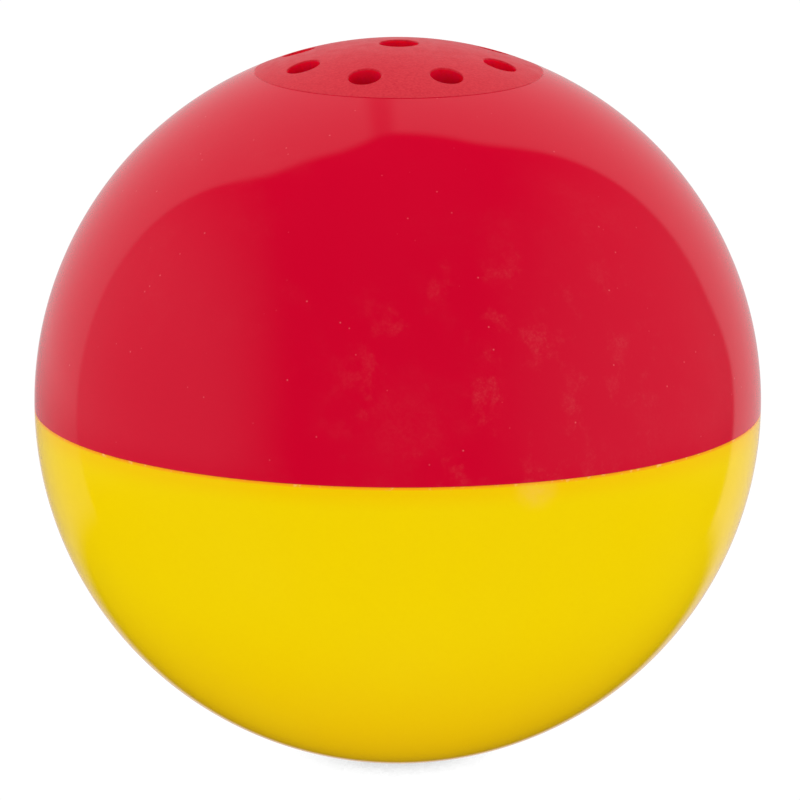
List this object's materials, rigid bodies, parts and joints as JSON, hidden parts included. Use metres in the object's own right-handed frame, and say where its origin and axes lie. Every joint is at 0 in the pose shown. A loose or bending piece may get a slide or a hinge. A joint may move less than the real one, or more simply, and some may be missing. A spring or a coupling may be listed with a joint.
{
  "type": "sound juggling ball",
  "caption": "Hard two-tone ball with a perforated sound grille; the upper half lifts off a motion-triggered speaker module carried in the lower half.",
  "frame": {"origin": "centre of the ball", "axes": "+Z out through the middle of the sound grille, -Y to the side seen in the picture, +X to that view's right"},
  "size_m": [0.07, 0.07, 0.0699],
  "materials": {
    "red_case": "polished red plastic, fine-textured on the grille disc",
    "yellow_case": "polished yellow plastic",
    "frame_plastic": "moulded black plastic",
    "zinc_screw": "zinc-plated steel",
    "speaker_steel": "pressed, plated sheet",
    "magnet": "nickel-plated magnet",
    "diaphragm_film": "clear amber film",
    "copper_winding": "enamelled copper wire",
    "gasket_foam": "closed-cell foam",
    "board_laminate": "green solder mask",
    "black_epoxy": "cast resin",
    "capacitor_sleeve": "dark blue shrink sleeve",
    "resistor_body": "lacquered, with four bands",
    "cell_can": "nickel-plated steel",
    "contact_nickel": "nickel-plated spring steel",
    "red_insulation": "soft vinyl",
    "black_insulation": "soft vinyl"
  },
  "bodies": {
    "lower_half": {"lower_shell": "yellow_case", "case_screw_left": "zinc_screw", "case_screw_right": "zinc_screw", "module_frame": "frame_plastic", "frame_screw_1": "zinc_screw", "frame_screw_2": "zinc_screw", "frame_screw_3": "zinc_screw", "frame_screw_4": "zinc_screw", "speaker_gasket": "gasket_foam", "speaker_basket": "speaker_steel", "magnet_cup": "zinc_screw", "speaker_magnet": "magnet", "pole_plate": "zinc_screw", "speaker_terminal_board": "board_laminate", "circuit_board": "board_laminate", "board_screw_left": "zinc_screw", "board_screw_right": "zinc_screw", "sound_chip_cover": "black_epoxy", "capacitor": "capacitor_sleeve", "transistor": "black_epoxy", "resistor": "resistor_body", "motion_pin": "contact_nickel", "button_cell_1": "cell_can", "button_cell_2": "cell_can", "button_cell_3": "cell_can", "battery_contact_positive": "contact_nickel", "battery_contact_negative": "contact_nickel", "speaker_wire_red": "red_insulation", "speaker_wire_black": "black_insulation", "battery_wire_red": "red_insulation", "battery_wire_black": "black_insulation"},
    "upper_half": {"upper_shell": "red_case"},
    "diaphragm": {"speaker_diaphragm": "diaphragm_film", "voice_coil": "copper_winding"},
    "motion_coil": {"motion_spring": "contact_nickel"}
  },
  "joints": [
    {"name": "upper_half_lift", "type": "slide", "parent": "lower_half", "child": "upper_half", "axis": [0, 0, 1], "range_m": [0, 0.06]},
    {"name": "diaphragm_travel", "type": "slide", "parent": "lower_half", "child": "diaphragm", "axis": [0, 0, 1], "range_m": [-0.0004, 0.0004], "stiffness_N_per_m": 100},
    {"name": "motion_spring_sway", "type": "hinge", "parent": "lower_half", "child": "motion_coil", "pos_m": [-0.009, 0.0015, -0.0005], "axis": [0, 1, 0], "range_deg": [-6, 6], "stiffness_Nm_per_rad": 0.00005}
  ]
}
